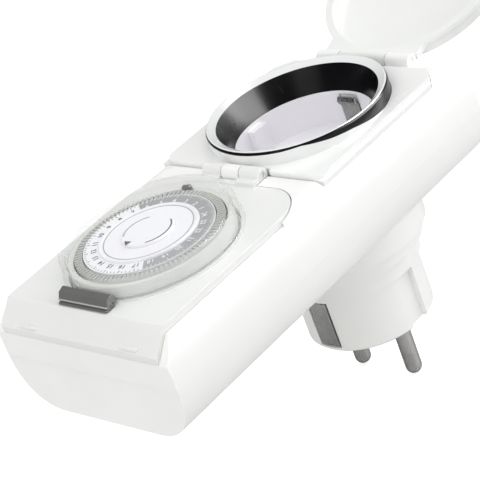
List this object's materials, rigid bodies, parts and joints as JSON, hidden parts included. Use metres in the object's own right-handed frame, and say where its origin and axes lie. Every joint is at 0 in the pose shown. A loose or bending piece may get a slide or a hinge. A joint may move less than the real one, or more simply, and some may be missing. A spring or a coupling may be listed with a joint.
{
  "type": "plug in timer switch",
  "caption": "Mechanical 24-hour plug-in timer with a domed dial lid, a covered earthed socket and an earthed plug on its back.",
  "frame": {"origin": "centre of the plug's front face, midway between its two pins", "axes": "+Z from the plug's face towards the lids, +Y along the body from the dial end to the socket's hinge end, +X across the body through the two pins"},
  "size_m": [0.0626, 0.1809, 0.1039],
  "materials": {
    "housing_white": "smooth moulded, soft gloss",
    "lid_plastic": "frosted translucent moulding",
    "window_clear": "clear moulded plastic dome",
    "collar_black": "glossy black seal",
    "latch_grey": "satin dark grey",
    "socket_grey": "satin light grey",
    "bezel_grey": "satin grey",
    "dial_white": "printed satin white",
    "tappet_grey": "satin grey",
    "seal_rubber": "soft rubber",
    "switch_black": "glass-filled plastic",
    "nylon": "natural nylon",
    "nickel": "nickel-plated brass, satin",
    "brass": "stamped",
    "copper": "stamped copper strip",
    "zinc_steel": "zinc plated",
    "motor_steel": "drawn steel can",
    "wire_blue": "insulated lead"
  },
  "bodies": {
    "housing": {"lower_housing": "housing_white", "plug_collar": "housing_white", "upper_housing": "housing_white", "housing_gasket": "seal_rubber", "housing_screws": "zinc_steel", "plug_body": "housing_white", "line_pin": "nickel", "neutral_pin": "nickel", "plug_earth_clip_near": "nickel", "plug_earth_clip_far": "nickel", "earth_strap": "brass", "line_contact": "brass", "neutral_contact": "brass", "line_busbar": "copper", "neutral_busbar": "copper", "switched_busbar": "copper", "socket_insert": "socket_grey", "socket_collar": "collar_black", "socket_surround": "lid_plastic", "socket_earth_clip": "nickel", "microswitch_body": "switch_black", "lever_pivot_pin": "zinc_steel", "motor": "motor_steel", "motor_leads": "wire_blue", "movement_plate": "nylon", "movement_screws": "zinc_steel", "movement_bezel": "bezel_grey", "dial_arbor": "zinc_steel", "idler_arbor": "zinc_steel", "timer_seal": "seal_rubber", "timer_hinge_pin": "zinc_steel", "socket_hinge_pin": "zinc_steel"},
    "timer_lid": {"timer_lid": "lid_plastic", "timer_window": "window_clear", "latch_pin": "zinc_steel", "latch_spring": "zinc_steel"},
    "latch": {"latch": "latch_grey"},
    "socket_lid": {"socket_lid": "lid_plastic"},
    "dial": {"dial_disc": "dial_white", "dial_knob": "dial_white", "tappet_ring": "tappet_grey"},
    "idler": {"idler_wheel": "nylon"},
    "motor_pinion": {"motor_pinion": "brass"},
    "lever": {"switch_lever": "zinc_steel"},
    "plunger": {"switch_plunger": "nylon"},
    "override": {"override_slider": "latch_grey"},
    "tappet_1": {"tappet_1": "tappet_grey"},
    "tappet_2": {"tappet_2": "tappet_grey"},
    "tappet_3": {"tappet_3": "tappet_grey"},
    "tappet_4": {"tappet_4": "tappet_grey"},
    "tappet_5": {"tappet_5": "tappet_grey"},
    "tappet_6": {"tappet_6": "tappet_grey"},
    "tappet_7": {"tappet_7": "tappet_grey"},
    "tappet_8": {"tappet_8": "tappet_grey"}
  },
  "joints": [
    {"name": "timer_lid_hinge", "type": "hinge", "parent": "housing", "child": "timer_lid", "pos_m": [0, -0.0284, 0.0659], "axis": [-1, 0, 0], "range_deg": [0, 100]},
    {"name": "latch_rock", "type": "hinge", "parent": "timer_lid", "child": "latch", "pos_m": [0, -0.0864, 0.0658], "axis": [-1, 0, 0], "range_deg": [0, 10], "stiffness_Nm_per_rad": 0.02, "springref_deg": -5.73},
    {"name": "socket_lid_hinge", "type": "hinge", "parent": "housing", "child": "socket_lid", "pos_m": [0, 0.0303, 0.0659], "axis": [1, 0, 0], "range_deg": [0, 160]},
    {"name": "dial_spin", "type": "hinge", "parent": "housing", "child": "dial", "pos_m": [0, -0.0615, 0.0647], "axis": [0, 0, -1], "continuous": true},
    {"name": "idler_spin", "type": "hinge", "parent": "housing", "child": "idler", "pos_m": [0, -0.0439, 0.0547], "axis": [0, 0, -1], "continuous": true},
    {"name": "motor_spin", "type": "hinge", "parent": "housing", "child": "motor_pinion", "pos_m": [0, -0.0565, 0.0527], "axis": [0, 0, -1], "continuous": true},
    {"name": "lever_rock", "type": "hinge", "parent": "housing", "child": "lever", "pos_m": [0, -0.0889, 0.0574], "axis": [-1, 0, 0], "range_deg": [0, 10], "stiffness_Nm_per_rad": 0.004, "springref_deg": -5.73},
    {"name": "plunger_slide", "type": "slide", "parent": "housing", "child": "plunger", "axis": [0, 0, -1], "range_m": [0, 0.0006]},
    {"name": "override_slide", "type": "hinge", "parent": "housing", "child": "override", "pos_m": [0, -0.0615, 0.0647], "axis": [0, 0, 1], "range_deg": [0, 12]},
    {"name": "tappet_1_press", "type": "slide", "parent": "dial", "child": "tappet_1", "axis": [0, 0, -1], "range_m": [0, 0.0016]},
    {"name": "tappet_2_press", "type": "slide", "parent": "dial", "child": "tappet_2", "axis": [0, 0, -1], "range_m": [0, 0.0016]},
    {"name": "tappet_3_press", "type": "slide", "parent": "dial", "child": "tappet_3", "axis": [0, 0, -1], "range_m": [0, 0.0016]},
    {"name": "tappet_4_press", "type": "slide", "parent": "dial", "child": "tappet_4", "axis": [0, 0, -1], "range_m": [0, 0.0016]},
    {"name": "tappet_5_press", "type": "slide", "parent": "dial", "child": "tappet_5", "axis": [0, 0, -1], "range_m": [0, 0.0016]},
    {"name": "tappet_6_press", "type": "slide", "parent": "dial", "child": "tappet_6", "axis": [0, 0, -1], "range_m": [0, 0.0016]},
    {"name": "tappet_7_press", "type": "slide", "parent": "dial", "child": "tappet_7", "axis": [0, 0, -1], "range_m": [0, 0.0016]},
    {"name": "tappet_8_press", "type": "slide", "parent": "dial", "child": "tappet_8", "axis": [0, 0, -1], "range_m": [0, 0.0016]}
  ],
  "couplings": [
    {"joint": "idler_spin", "follows": "dial_spin", "ratio": -6},
    {"joint": "motor_spin", "follows": "dial_spin", "ratio": 24},
    {"joint": "plunger_slide", "follows": "lever_rock", "m_per_rad": 0.003}
  ]
}
